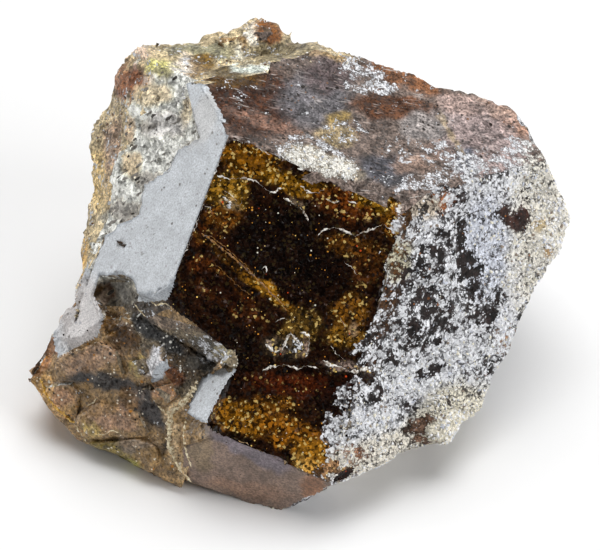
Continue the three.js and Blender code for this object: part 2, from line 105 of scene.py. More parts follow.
# Patches of colour: place and half sizes in the picture, turn in degrees, colour and strength.
PATCHES = {
    "amber_glass": [
        (290, 250, 62, 44, 0, (26, 13, 6), 0.95), (250, 160, 32, 18, 10, (122, 80, 12), 0.9),
        (225, 192, 22, 16, 0, (132, 98, 26), 0.9), (300, 185, 42, 10, 12, (124, 88, 16), 0.9),
        (345, 205, 32, 16, 15, (96, 50, 12), 0.9), (378, 200, 22, 14, 20, (132, 98, 20), 0.9),
        (396, 218, 14, 20, 0, (116, 74, 14), 0.8), (225, 216, 20, 14, 0, (102, 62, 14), 0.8),
        (206, 236, 18, 10, 30, (88, 46, 12), 0.8), (246, 273, 62, 5, 39, (136, 96, 22), 1.0),
        (355, 246, 34, 13, 20, (90, 56, 14), 0.9), (368, 270, 14, 18, 20, (80, 46, 14), 0.8),
        (350, 312, 16, 22, 0, (106, 70, 16), 0.9), (346, 338, 18, 12, 0, (122, 88, 24), 0.9),
        (302, 326, 20, 16, 0, (106, 82, 32), 0.8),
        (286, 346, 22, 12, 0, (92, 82, 62), 0.7), (300, 386, 55, 12, 5, (80, 34, 10), 0.9),
        (232, 300, 44, 14, 38, (76, 40, 12), 0.9), (222, 276, 34, 5, 38, (92, 54, 14), 0.8),
        (200, 264, 14, 10, 0, (84, 42, 12), 0.8),
        (236, 352, 16, 26, 0, (20, 11, 6), 0.8), (240, 419, 30, 14, 20, (128, 86, 16), 0.9),
        (290, 433, 34, 16, 20, (132, 84, 16), 0.9), (312, 452, 22, 14, 20, (146, 102, 26), 0.9),
        (272, 404, 24, 9, 0, (104, 66, 12), 0.8), (335, 398, 20, 22, 0, (28, 13, 7), 0.8),
        # The pale grey patches along the chip lines are partly painted highlights of the chip edges.
        (229, 201, 11, 5, 25, (150, 128, 84), 0.9), (352, 328, 6, 9, 0, (150, 128, 96), 0.8),
        (277, 347, 8, 4, 20, (136, 122, 104), 0.9), (304, 344, 5, 9, 10, (136, 118, 100), 0.9),
        (296, 204, 12, 4, 30, (96, 84, 66), 0.8), (350, 368, 26, 4, 8, (132, 118, 104), 0.8),
        (225, 252, 40, 9, 40, (40, 16, 6), 0.8), (225, 290, 30, 9, 40, (34, 14, 6), 0.8),
        (306, 466, 16, 8, 25, (190, 146, 66), 0.9), (333, 470, 18, 10, -20, (176, 140, 98), 0.95),
    ],
    "hazy_top": [
        (252, 102, 52, 36, 5, (64, 35, 17), 0.95), (232, 76, 28, 13, 0, (88, 64, 26), 0.95),
        (262, 122, 40, 8, 17, (134, 104, 90), 0.7), (315, 100, 36, 28, 0, (104, 104, 110), 0.9),
        (330, 76, 25, 16, 0, (92, 82, 84), 0.9), (341, 119, 11, 8, 0, (160, 138, 84), 0.9),
        (335, 136, 18, 10, 0, (168, 152, 116), 0.8), (392, 108, 40, 12, 5, (92, 58, 36), 0.95),
        (405, 78, 38, 11, 20, (126, 86, 58), 0.95), (515, 122, 14, 24, -40, (170, 128, 100), 0.95),
        (482, 140, 50, 34, 30, (158, 144, 144), 0.9), (460, 104, 26, 12, 15, (168, 148, 142), 0.9),
        (384, 170, 26, 15, 20, (74, 76, 84), 0.95), (467, 162, 11, 18, -30, (96, 102, 116), 0.95),
        (425, 126, 26, 14, 0, (150, 146, 146), 0.9), (414, 164, 20, 10, 0, (150, 128, 116), 0.8),
        # The pale strip at (455, 142) is partly painted light over the shaded wall of the ledge.
        (455, 142, 3, 32, -27, (166, 150, 122), 0.8), (322, 162, 40, 10, 17, (206, 196, 172), 0.8),
        (340, 53, 28, 7, 5, (178, 154, 112), 0.9), (310, 46, 16, 8, 0, (152, 132, 106), 0.9),
        (440, 152, 18, 8, 0, (118, 100, 92), 0.8), (500, 105, 26, 10, 30, (162, 140, 130), 0.8),
    ],
    "tan_rind": [
        (128, 82, 18, 18, 0, (124, 82, 56), 1.0), (160, 68, 15, 9, 0, (190, 184, 122), 1.0),
        (150, 92, 18, 9, 0, (202, 180, 138), 0.9), (110, 150, 9, 34, 10, (142, 118, 102), 0.9),
        (97, 178, 9, 28, 5, (198, 172, 124), 0.9), (118, 196, 14, 18, 0, (184, 160, 122), 0.8),
        (118, 218, 18, 8, 0, (150, 146, 138), 0.9), (200, 50, 36, 8, 0, (126, 122, 100), 0.95),
        (272, 50, 42, 11, 0, (118, 108, 86), 0.85),
        (252, 36, 5, 9, 0, (206, 198, 190), 1.0), (240, 52, 5, 7, 0, (204, 198, 184), 1.0),
        (246, 44, 3, 8, 20, (120, 96, 62), 0.9),
        (269, 30, 15, 11, 0, (116, 74, 32), 1.0), (250, 67, 24, 5, 0, (190, 198, 196), 0.9),
        (292, 46, 16, 8, 0, (116, 106, 86), 0.9), (203, 63, 9, 9, 0, (118, 90, 34), 1.0),
        (184, 70, 14, 10, 0, (206, 196, 190), 1.0), (80, 262, 6, 26, 10, (184, 146, 84), 0.9),
        (45, 345, 8, 34, 32, (182, 128, 90), 0.9), (140, 50, 10, 8, 0, (196, 172, 158), 0.8),
        (230, 75, 18, 7, 8, (88, 74, 48), 1.0), (197, 69, 11, 7, 0, (116, 94, 62), 0.9),
        (268, 34, 12, 9, 0, (104, 62, 26), 0.9),
    ],
    "etched_face": [
        (126, 78, 20, 18, 0, (122, 80, 54), 1.0), (160, 70, 15, 9, 0, (160, 156, 116), 1.0),
        (150, 94, 22, 10, 0, (196, 182, 152), 0.9), (186, 110, 7, 14, 0, (196, 184, 156), 0.9),
        (132, 165, 11, 13, 0, (198, 180, 148), 0.9), (126, 130, 8, 16, 0, (190, 168, 138), 0.9),
        (165, 126, 22, 14, 0, (188, 188, 188), 0.9), (150, 182, 14, 8, 0, (132, 130, 126), 0.9),
        (148, 125, 8, 6, 0, (116, 112, 104), 0.8), (125, 210, 14, 9, 0, (140, 138, 134), 0.9),
        (100, 300, 12, 18, 0, (70, 50, 24), 1.0),
        (70, 318, 10, 44, 22, (138, 108, 78), 1.0), (52, 348, 12, 12, 0, (130, 96, 68), 1.0),
        (118, 298, 18, 16, 0, (84, 78, 66), 1.0), (124, 290, 8, 13, -20, (120, 118, 112), 0.9),
        (106, 292, 6, 12, 10, (70, 44, 24), 1.0), (102, 298, 5, 9, 10, (126, 110, 94), 0.9),
    ],
    "mirror_face": [
        # Paler greys of the mirror face, partly painted reflection.
        (80, 315, 24, 42, 0, (182, 176, 174), 0.9), (203, 120, 14, 30, 20, (170, 169, 168), 0.7),
        # Painted shade: the dark pit in the mirror face.
        (122, 243, 6, 4, 20, (24, 18, 10), 1.0),
    ],
    "spur_brown": [
        (90, 359, 34, 14, -10, (122, 102, 92), 0.9), (106, 383, 46, 8, 10, (36, 37, 44), 0.95),
        (149, 409, 30, 10, 45, (37, 38, 47), 0.95), (108, 318, 10, 9, 0, (44, 28, 10), 0.9),
        (126, 400, 10, 14, 40, (84, 66, 50), 0.8), (112, 418, 26, 12, 10, (122, 100, 92), 0.8),
        (45, 392, 9, 20, -30, (148, 120, 84), 0.9),
        (63, 413, 11, 8, 20, (140, 114, 82), 0.9), (45, 352, 7, 26, 30, (136, 98, 70), 0.9),
        (62, 398, 14, 12, 0, (130, 102, 86), 0.9), (100, 410, 18, 9, 0, (112, 92, 70), 0.8),
        (108, 450, 28, 9, 5, (90, 82, 44), 0.9), (125, 466, 16, 8, 10, (112, 112, 48), 1.0),
        (136, 446, 20, 7, 5, (106, 96, 92), 0.9), (122, 334, 16, 12, 30, (46, 29, 12), 0.9),
        (108, 326, 8, 7, 0, (92, 68, 34), 0.8), (140, 368, 8, 8, 0, (132, 120, 84), 1.0),
        (90, 432, 8, 7, 0, (136, 122, 86), 1.0), (165, 391, 16, 8, 0, (128, 100, 82), 0.9),
        (168, 372, 8, 8, 0, (104, 52, 18), 0.9), (145, 325, 16, 12, 30, (48, 48, 47), 0.9),
        (172, 343, 22, 8, 35, (48, 48, 48), 0.9),
        (179, 405, 5, 16, 40, (166, 150, 132), 1.0), (174, 440, 6, 24, -5, (150, 134, 116), 1.0),
        # Painted reflections: the blue-white patches at (158, 366) and (158, 349) on glassy facets.
        (186, 474, 6, 14, -35, (158, 140, 118), 1.0), (158, 366, 9, 15, -20, (162, 168, 192), 1.0),
        # Painted shadow: the thin dark patch at (163, 445) beside the cream ridge.
        (158, 349, 8, 7, 0, (146, 152, 176), 1.0), (163, 445, 3, 13, 0, (36, 27, 18), 1.0),
        (190, 362, 24, 14, 30, (64, 52, 40), 0.9),
        (150, 330, 24, 7, 38, (42, 43, 45), 0.95), (140, 345, 9, 12, 30, (50, 36, 20), 0.8),
    ],
    "foot_bevel": [
        (248, 450, 46, 9, 24, (104, 99, 110), 0.9), (250, 490, 40, 9, 10, (124, 101, 86), 0.8),
        (312, 488, 14, 12, 0, (128, 92, 66), 0.8), (200, 450, 12, 22, 0, (120, 106, 84), 0.8),
    ],
    "groove_grey": [
        (160, 316, 30, 9, 30, (116, 104, 96), 0.9), (190, 312, 30, 9, 45, (44, 24, 9), 1.0),
        (212, 330, 18, 7, 40, (54, 32, 12), 0.9), (205, 350, 20, 12, 20, (74, 72, 66), 0.9),
        (145, 325, 16, 10, 30, (46, 47, 50), 0.9), (148, 307, 24, 8, 5, (56, 48, 42), 1.0),
        (222, 352, 9, 9, 0, (142, 136, 112), 0.8),
        (188, 362, 26, 16, 30, (70, 57, 42), 0.9), (172, 376, 9, 9, 0, (94, 54, 24), 0.9),
        (200, 362, 14, 9, 20, (60, 59, 57), 0.9),
        (166, 343, 24, 7, 35, (42, 43, 46), 0.95), (150, 328, 22, 7, 38, (44, 45, 48), 0.95),
    ],
    "crusted_side": [
        (505, 340, 12, 11, 0, (190, 150, 110), 0.9), (442, 202, 10, 8, 0, (150, 92, 44), 0.9),
        (426, 430, 18, 16, 0, (116, 94, 78), 1.0), (404, 440, 5, 7, 0, (60, 44, 24), 1.0),
        (350, 452, 20, 11, 0, (156, 118, 92), 0.9), (322, 460, 10, 18, 0, (150, 104, 40), 0.9),
        (338, 473, 20, 11, -25, (176, 146, 114), 1.0),
        (515, 215, 16, 16, 0, (66, 46, 40), 1.0), (400, 235, 14, 36, 8, (92, 62, 18), 0.8),
        (388, 300, 10, 36, 14, (70, 46, 16), 0.7), (360, 370, 14, 30, 25, (64, 40, 14), 0.7),
    ],
    "broken_back": [],
}
# Ground colour of each finish. The pale blue-grey of mirror_face is partly a painted reflection of the studio
# light on the dark crystal's flat face.
GROUND = {
    "amber_glass": (44, 23, 9), "mirror_face": (166, 171, 177), "etched_face": (214, 212, 202),
    "hazy_top": (116, 104, 98), "crusted_side": (38, 31, 30), "tan_rind": (170, 154, 126),
    "broken_back": (138, 116, 88), "spur_brown": (112, 94, 72), "foot_bevel": (112, 97, 88),
    "groove_grey": (104, 96, 84),
}

# Factors from the colours above, which are seen in the light of the studio, to those of the finish itself.
GAIN = {
    "amber_glass": (0.96, 0.9, 0.95), "mirror_face": (1.05, 1.05, 1.04), "etched_face": (1.6, 1.55, 1.5),
    "hazy_top": (1.0, 0.96, 0.92), "crusted_side": (0.95, 0.85, 0.8), "tan_rind": (1.6, 1.6, 1.5),
    "broken_back": (1.05, 1.02, 1.04), "spur_brown": (1.95, 1.78, 1.35), "foot_bevel": (1.4, 1.3, 1.2),
    "groove_grey": (1.6, 1.5, 1.3),
}

# Cover of the pale crust for each finish, where 1 is closed and less than 0 is bare. Then the places where
# it is thicker or thinner: place and half sizes in the picture, turn in degrees and cover.
COVER = {
    "amber_glass": -0.6, "mirror_face": -0.9, "etched_face": -0.35, "hazy_top": -0.32, "crusted_side": 0.46,
    "tan_rind": -0.12, "broken_back": -0.1, "spur_brown": -0.4, "foot_bevel": -0.6, "groove_grey": -0.25,
}
COVER_PATCHES = {
    "amber_glass": [
        (408, 215, 18, 26, 10, 0.3), (396, 275, 14, 40, 12, 0.22), (368, 352, 16, 26, 20, 0.28),
        (352, 400, 18, 22, 25, 0.3), (332, 440, 14, 26, 0, 0.3), (294, 343, 12, 7, 0, 0.1),
        (228, 203, 10, 4, 20, 0.3),
    ],
    "hazy_top": [
        (318, 158, 46, 16, 17, 0.26), (322, 164, 36, 10, 17, 0.62), (360, 74, 22, 24, 30, 0.2),
        (384, 88, 14, 9, 0, 0.4),
        (425, 183, 30, 9, -5, 0.3), (500, 160, 60, 18, -10, 0.26), (415, 150, 40, 14, 0, 0.1),
        (345, 130, 22, 14, 0, 0.0), (386, 171, 22, 12, 20, -0.05),
    ],
    "crusted_side": [
        (430, 288, 46, 56, 10, 0.24), (520, 260, 50, 90, 0, 0.66), (440, 392, 90, 40, -20, 0.56),
        (365, 410, 26, 30, 20, 0.58), (440, 215, 36, 14, 0, 0.46), (515, 216, 15, 16, 0, -0.2),
        (464, 235, 6, 14, 0, -0.1), (464, 263, 7, 12, -8, -0.1), (487, 311, 9, 12, 20, -0.1),
        (449, 328, 9, 8, 0, -0.1),
        (470, 320, 10, 8, 0, 0.0), (426, 431, 17, 15, 0, -0.1), (404, 439, 8, 9, 0, -0.2),
        (520, 200, 14, 9, 0, 0.4), (478, 290, 5, 10, 0, 0.1), (375, 450, 40, 16, -20, 0.62),
        (535, 182, 30, 16, -20, 0.7), (558, 235, 13, 60, 4, 0.95), (452, 424, 26, 14, -35, 0.85),
        (428, 372, 14, 9, -20, 0.2), (376, 397, 8, 11, 25, 0.12), (423, 328, 12, 9, 0, -0.08),
        (432, 300, 10, 10, 0, 0.4), (474, 264, 7, 14, 0, 0.05), (391, 272, 8, 22, 8, 0.12),
        (402, 222, 9, 20, 8, 0.14), (388, 318, 9, 22, 16, 0.14),
        (442, 284, 11, 12, 0, 0.52), (464, 312, 9, 8, 0, 0.5), (401, 314, 12, 13, 0, 0.08),
        (456, 190, 12, 7, -10, 0.56), (500, 296, 9, 10, 0, 0.22), (352, 452, 10, 11, 0, 0.22),
    ],
    "groove_grey": [(212, 348, 20, 11, 30, 0.32)],
    "etched_face": [(114, 294, 22, 20, 0, -0.6)],
}

# Colour of the crust, and the patches where it has another one.
PALE = (238, 239, 243)
PALE_PATCHES = [
    (545, 240, 34, 100, 0, (244, 238, 224), 0.9), (322, 164, 40, 13, 17, (247, 243, 232), 0.9),
    (450, 420, 50, 30, -35, (242, 234, 212), 0.9),
    (370, 455, 50, 20, -20, (242, 234, 218), 0.9), (485, 250, 22, 50, 0, (228, 232, 244), 0.9),
    (540, 222, 7, 7, 0, (230, 206, 160), 0.9), (547, 252, 5, 6, 0, (198, 160, 108), 0.9),
    (400, 260, 14, 20, 0, (206, 196, 158), 0.8), (420, 205, 22, 12, 0, (206, 186, 158), 0.8),
]

# Borders that aren't straight: a face, the face beyond its edge, and how far that one reaches in millimetres.
FRAYED = [
    ("crusted", "amber", 1.3), ("amber", "crusted", 0.9), ("top", "crusted", 0.8),
    ("amber", "worn_edge", 0.4),
]

# Places that are worn soft: place and radius in the picture, and how often they are smoothed.
SOFT = [
    (440, 108, 12, 12), (446, 132, 12, 12), (458, 155, 13, 12), (468, 172, 12, 12), (436, 88, 12, 12),
    (293, 38, 17, 40), (306, 43, 22, 30), (117, 293, 19, 30), (150, 300, 20, 3), (224, 350, 11, 8),
    (90, 405, 60, 1), (130, 455, 40, 1),
]

# Places where the edges aren't chipped: place and radius in the picture.
SHARP = [(212, 102, 24), (216, 172, 30), (190, 240, 40)]

# Bumps of the outline: place and radius in the picture, then the push to the right and up in millimetres.
BULGES = [
    (118, 78, 48, -0.75, 0.3), (96, 140, 40, -0.25, 0.0), (565, 245, 40, 0.4, -0.2),
    (450, 435, 26, 0.3, -0.3),
    (308, 44, 24, 0.2, 0.7), (254, 22, 26, 0.7, 0.15), (276, 26, 18, 0.3, 0.3), (340, 51, 28, 0.0, 0.42),
    (302, 41, 22, 0.0, 0.75), (320, 46, 22, 0.0, 0.4), (412, 74, 28, 0.08, 0.3), (340, 466, 24, 0.15, -0.45),
]

# Places that have another finish than the rest of their face: the finish and the outline in the picture.
REPAINTED = [
    # The mirror_face outlines paint its pale grey, partly a painted reflection, onto triangles of other faces,
    # such as the glassy lens at (153, 372).
    ("mirror_face", [
        (88, 262), (94, 296), (104, 316), (98, 336), (76, 347), (58, 357), (54, 344), (53, 334), (66, 308),
        (79, 288),
    ]),
    ("spur_brown", [(58, 358), (76, 348), (98, 337), (118, 345), (114, 356), (84, 364), (60, 378)]),
    ("spur_brown", [(106, 306), (122, 306), (134, 324), (112, 336), (100, 338), (105, 318)]),
    ("groove_grey", [(124, 306), (138, 302), (168, 300), (174, 306), (150, 317), (134, 324)]),
    ("amber_glass", [
        (173, 280), (198, 314), (228, 339), (236, 352), (222, 345), (205, 330), (178, 313), (165, 301),
        (169, 290),
    ]),
    ("mirror_face", [(140, 288), (176, 277), (172, 290), (167, 300), (150, 302), (138, 301)]),
    ("mirror_face", [(153, 372), (160, 362), (168, 359), (169, 367), (163, 378), (156, 382), (151, 380)]),
    ("amber_glass", [(205, 422), (229, 424), (232, 439), (214, 432)]),
    ("foot_bevel", [(205, 423), (214, 432), (232, 439), (228, 452), (204, 440)]),
    ("spur_brown", [(34, 374), (50, 350), (58, 357), (58, 368), (42, 380)]),
    ("amber_glass", [
        (356, 262), (384, 258), (383, 285), (377, 312), (364, 338), (350, 346), (346, 300),
    ]),
    ("amber_glass", [(390, 196), (402, 202), (399, 232), (392, 256), (380, 262), (380, 220)]),
    ("amber_glass", [
        (231, 140), (250, 144), (270, 154), (292, 168), (284, 175), (262, 167), (236, 160), (226, 152),
    ]),
    ("groove_grey", [(221, 350), (235, 350), (239, 364), (229, 373), (221, 366)]),
    ("amber_glass", [
        (229, 378), (238, 370), (242, 378), (234, 396), (224, 424), (210, 425), (207, 420), (214, 406),
        (221, 392),
    ]),
    ("mirror_face", [
        (197, 83), (206, 84), (213, 97), (219, 109), (226, 122), (214, 122), (202, 110), (198, 97),
    ]),
]

# Thin lines on the stone: kind, width in millimetres, and places in the picture.
LINES = [
    # Chip lines: partly real chipped edges and scratches, partly painted highlights where light catches the
    # chips and the mirror face's rim.
    ("chip", 0.18, [(217, 175), (230, 178), (245, 177), (258, 180), (268, 188), (276, 192), (285, 186)]),
    ("chip", 0.18, [(222, 196), (230, 203), (240, 207), (243, 201)]),
    ("chip", 0.10, [(224, 190), (234, 198), (239, 204)]),
    ("chip", 0.18, [(283, 198), (292, 202), (300, 208), (306, 215), (309, 222)]),
    ("chip", 0.20, [
        (318, 236), (324, 230), (335, 228), (346, 231), (356, 236), (364, 232), (374, 229), (384, 223),
    ]),
    ("chip", 0.10, [(384, 225), (393, 230), (400, 236)]),
    ("chip", 0.17, [(300, 186), (310, 192), (320, 191), (327, 186)]),
    ("chip", 0.18, [(326, 199), (334, 203), (340, 202)]),
    ("chip", 0.16, [(348, 201), (357, 204)]),
    ("chip", 0.30, [(265, 344), (274, 351), (283, 349), (288, 338), (291, 332)]),
    ("chip", 0.20, [(291, 334), (298, 342), (306, 344)]),
    ("chip", 0.28, [(300, 332), (309, 336), (308, 348), (305, 358)]),
    ("chip", 0.10, [(275, 322), (284, 318), (292, 323), (300, 320)]),
    ("chip", 0.22, [(262, 371), (272, 366), (284, 365), (296, 369), (308, 365), (318, 368)]),
    ("chip", 0.30, [(322, 361), (330, 366), (340, 367), (350, 373), (360, 371), (372, 368), (380, 369)]),
    ("chip", 0.08, [(344, 262), (352, 268), (357, 276)]),
    ("chip", 0.10, [(330, 345), (336, 354), (345, 360)]),
    ("chip", 0.16, [(261, 269), (264, 266), (266, 270), (263, 273), (261, 269)]),
    ("chip", 0.10, [(204, 205), (210, 207), (212, 212)]),
    ("chip", 0.10, [(340, 318), (345, 325), (344, 332)]),
    ("chip", 0.10, [
        (227, 141), (223, 152), (218, 166), (211, 184), (203, 204), (195, 226), (187, 250), (177, 275),
    ]),
    ("chip", 0.10, [(187, 98), (190, 110), (194, 124), (197, 136)]),
    ("chip", 0.12, [(186, 100), (189, 112), (192, 124)]),
    ("chip", 0.10, [(232, 139), (246, 144), (258, 149), (270, 156)]),
    ("cream", 0.5, [
        (197, 380), (191, 392), (183, 402), (173, 413), (170, 428), (171, 445), (176, 460), (184, 474),
    ]),
    ("cream", 0.4, [(184, 474), (190, 481), (197, 487)]),
    ("cream", 0.40, [(156, 404), (163, 410), (172, 414)]),
    ("cream", 0.30, [(186, 420), (183, 436), (186, 455), (190, 468)]),
    ("cream", 0.20, [(86, 406), (94, 402), (97, 397)]),
    ("cream", 0.16, [(94, 435), (104, 434), (112, 430), (122, 433)]),
    ("ochre", 0.34, [(40, 378), (44, 392), (52, 406), (62, 414), (74, 424)]),
    ("cream", 0.16, [(74, 424), (82, 436), (90, 448), (104, 460)]),
    ("cream", 0.20, [(148, 300), (156, 305), (164, 303), (170, 306)]),
    ("cream", 0.22, [(134, 304), (140, 312), (146, 318)]),
    ("gold", 0.24, [(201, 233), (215, 243), (232, 256), (250, 271), (268, 288), (281, 301), (291, 312)]),
    ("gold", 0.14, [(208, 234), (226, 247), (244, 262), (258, 275)]),
    ("gold", 0.10, [(214, 262), (226, 272), (240, 286), (254, 296)]),
    ("hair", 0.05, [(176, 146), (183, 149), (190, 157), (197, 161)]),
    ("hair", 0.05, [(183, 172), (187, 180), (185, 191)]),
    ("hair", 0.05, [(168, 152), (175, 158), (172, 164)]),
    ("hair", 0.07, [(180, 171), (183, 172), (185, 175)]),
    ("hair", 0.05, [(151, 226), (154, 232)]),
    # Painted shade of the pit, with a pale chip line below it as its lit edge.
    ("pit", 0.34, [(116, 240), (120, 243), (124, 246), (127, 244)]),
    ("chip", 0.10, [(115, 246), (120, 249), (126, 249)]),
    ("chip", 0.09, [(143, 186), (155, 178), (168, 171), (178, 152), (190, 144), (197, 138)]),
    ("chip", 0.09, [(102, 236), (122, 222), (136, 215), (140, 200), (143, 186)]),
    ("chip", 0.08, [(312, 95), (316, 103), (322, 107), (320, 113), (313, 110), (309, 103)]),
    ("chip", 0.07, [(296, 70), (303, 82), (308, 92)]),
    ("chip", 0.07, [(318, 104), (328, 110), (332, 116)]),
    ("chip", 0.08, [(232, 101), (244, 106), (258, 110), (270, 116), (280, 121)]),
    ("chip", 0.07, [(240, 116), (254, 120), (266, 124)]),
    ("chip", 0.12, [(405, 200), (420, 196), (436, 192), (452, 188)]),
]


def linear(colour):
    c = np.asarray(colour, float) / 255
    return np.where(c <= 0.04045, c / 12.92, ((c + 0.055) / 1.055) ** 2.4)


def direction(face):
    bearing, pitch = (math.radians(v) for v in FACES[face][:2])
    level = math.cos(pitch)
    return np.array([level * math.cos(bearing), level * math.sin(bearing), math.sin(pitch)])


def picture(points):
    """Pixel place in the photograph of points in metres."""
    q = points - HEART
    near = VIEW_DISTANCE / (VIEW_DISTANCE + q @ AWAY)
    scale = PIXELS_PER_MM / MM
    return MIDDLE_X + scale * (q @ RIGHT) * near, MIDDLE_Y - scale * (q @ UP) * near


def cells(points, size, seed):
    """Smooth noise from 0 to 1 with lumps of the given size in millimetres."""
    q = points / (size * MM)
    low = np.floor(q)
    f = q - low
    f = f * f * (3 - 2 * f)
    low = low.astype(np.int64)
    total = np.zeros(len(points))
    for corner in range(8):
        step = np.array([corner & 1, corner >> 1 & 1, corner >> 2])
        i, j, k = (low + step).T
        h = (i * 73856093 ^ j * 19349663 ^ k * 83492791 ^ seed * 2654435761) & 0xFFFFFFFF
        h = ((h ^ h >> 13) * 1274126177) & 0xFFFFFFFF
        h = ((h ^ h >> 15) * 2246822519) & 0xFFFFFFFF
        total += ((h >> 8) & 0xFFFF) / 65535 * np.prod(np.where(step, f, 1 - f), axis=1)
    return total


def clouds(points, size, seed, octaves=3):
    layers = [cells(points, size / 2**n, seed + n) * 0.5**n for n in range(octaves)]
    return sum(layers) / sum(0.5**n for n in range(octaves))


def patch_weight(x, y, patch):
    """How much of a patch is at each place: 1 in the middle, 0 outside."""
    cx, cy, rx, ry, turn = patch[:5]
    c, s = math.cos(math.radians(turn)), math.sin(math.radians(turn))
    across = ((x - cx) * c + (y - cy) * s) / rx
    along = ((y - cy) * c - (x - cx) * s) / ry
    edge = np.clip((1.3 - np.hypot(across, along)) / 0.6, 0, 1)
    return edge * edge * (3 - 2 * edge)


def rows(items, name):
    """Three numbers of each vertex or triangle of a mesh, one row each."""
    values = np.zeros(len(items) * 3)
    items.foreach_get(name, values)
    return values.reshape(-1, 3)


def points_of(mesh):
    return rows(mesh.vertices, "co")


def corners_of(mesh):
    index = np.zeros(len(mesh.loops), np.int32)
    mesh.loops.foreach_get("vertex_index", index)
    return index


def move_points(mesh, points):
    mesh.vertices.foreach_set("co", points.ravel())
    mesh.update()


def activate(piece):
    bpy.ops.object.select_all(action="DESELECT")
    piece.select_set(True)
    bpy.context.view_layer.objects.active = piece


def cut_finely(stone):
    """Halves the sides of the triangles until they are short enough for the grit."""
    activate(stone)
    bpy.ops.object.mode_set(mode="EDIT")
    bpy.ops.mesh.select_all(action="SELECT")
    bpy.ops.mesh.remove_doubles(threshold=1e-7)
    bpy.context.tool_settings.mesh_select_mode = (False, True, False)
    toward = Vector(-AWAY)
    for _ in range(6):
        bpy.ops.mesh.select_all(action="DESELECT")
        mesh = bmesh.from_edit_mesh(stone.data)
        found = False
        for edge in mesh.edges:
            seen = any(face.normal.dot(toward) > -0.1 for face in edge.link_faces)
            limit = (FINE_SIDE if seen else COARSE_SIDE) * MM * 1.4
            if edge.calc_length() > limit:
                edge.select_set(True)
                found = True
        bmesh.update_edit_mesh(stone.data)
        if not found:
            break
        bpy.ops.mesh.subdivide(number_cuts=1)
        bpy.ops.mesh.select_all(action="SELECT")
        bpy.ops.mesh.quads_convert_to_tris(quad_method="BEAUTY", ngon_method="BEAUTY")
    bpy.ops.object.mode_set(mode="OBJECT")


def face_of_each(mesh):
    """Which flat face each triangle belongs to, by its place and its direction."""
    centre = (rows(mesh.polygons, "center") - HEART) / MM
    normal = rows(mesh.polygons, "normal")
    scores = []
    for name, face in FACES.items():
        outward = direction(name)
        off = np.abs(centre @ outward - face[2])
        turned = 1 - normal @ outward
        exact = face[3] in ("mirror_face", "amber_glass", "foot_bevel")
        scores.append(off + 3 * turned + (30 * turned + 10 * (off > 0.12) if exact else 0))
    found = np.argmin(scores, axis=0)
    names = list(FACES)
    place = centre * MM
    ragged = clouds(place, 1.3, 101)
    for mine, other, reach in FRAYED:
        inside = FACES[other][2] - centre @ direction(other)
        frayed = (found == names.index(mine)) & (inside < reach * np.clip((ragged - 0.45) / 0.2, 0, 1))
        found[frayed] = names.index(other)
        ragged = 1 - ragged
    return found


def finish_of_each(mesh, face_index):
    """The finish of each triangle, as a number in FINISHES."""
    finish = np.array([FINISHES.index(face[3]) for face in FACES.values()], np.int32)[face_index]
    x, y = picture(rows(mesh.polygons, "center"))
    seen = rows(mesh.polygons, "normal") @ AWAY < -0.05
    for name, outline in REPAINTED:
        within = np.zeros(len(x), bool)
        for (x0, y0), (x1, y1) in zip(outline, outline[1:] + outline[:1]):
            if y0 != y1:
                within ^= ((y0 > y) != (y1 > y)) & (x < x0 + (y - y0) * (x1 - x0) / (y1 - y0))
        finish[within & seen] = FINISHES.index(name)
    return finish


def weigh(stone, name, values):
    group = stone.vertex_groups.new(name=name)
    for value in np.unique(values):
        if value > 0:
            group.add(np.nonzero(values == value)[0].tolist(), float(value), "REPLACE")


def displace(stone, name, size, height):
    """Pushes the surface in and out by a cloud pattern, as far as the group of the same name lets it."""
    texture = bpy.data.textures.new(name, "CLOUDS")
    texture.noise_scale = size * MM
    texture.noise_depth = 2
    modifier = stone.modifiers.new(name, "DISPLACE")
    modifier.texture = texture
    modifier.texture_coords = "LOCAL"
    modifier.vertex_group = name
    modifier.mid_level = 0.5
    modifier.strength = height * MM
    activate(stone)
    bpy.ops.object.modifier_apply(modifier=name)


def wear(mesh):
    """Chips the sharp edges, and pushes the outline out where the picture shows a bump."""
    corner = corners_of(mesh).reshape(-1, 3)
    normal = rows(mesh.polygons, "normal")
    points = points_of(mesh)
    mean = np.zeros_like(points)
    for k in range(3):
        np.add.at(mean, corner[:, k], normal)
    mean /= np.maximum(np.linalg.norm(mean, axis=1), 1e-9)[:, None]
    turn = np.zeros(len(points))
    for k in range(3):
        np.maximum.at(turn, corner[:, k], 1 - np.einsum("ij,ij->i", normal, mean[corner[:, k]]))
    depth = np.clip((turn - 0.04) / 0.1, 0, 1) * np.clip((clouds(points, 1.1, 71) - 0.42) / 0.2, 0, 1)
    x, y = picture(points)
    for cx, cy, radius in SHARP:
        depth *= np.clip((np.hypot(x - cx, y - cy) - radius) / 8, 0, 1)
    points -= mean * (depth * CHIP_DEPTH * MM)[:, None]
    for cx, cy, radius, right, up in BULGES:
        fall = np.clip(1 - np.hypot(x - cx, y - cy) / radius, 0, 1) ** 1.5
        points += (fall[:, None] * (RIGHT * right + UP * up)) * MM
    points[:, 2] = np.maximum(points[:, 2], 0)
    move_points(mesh, points)


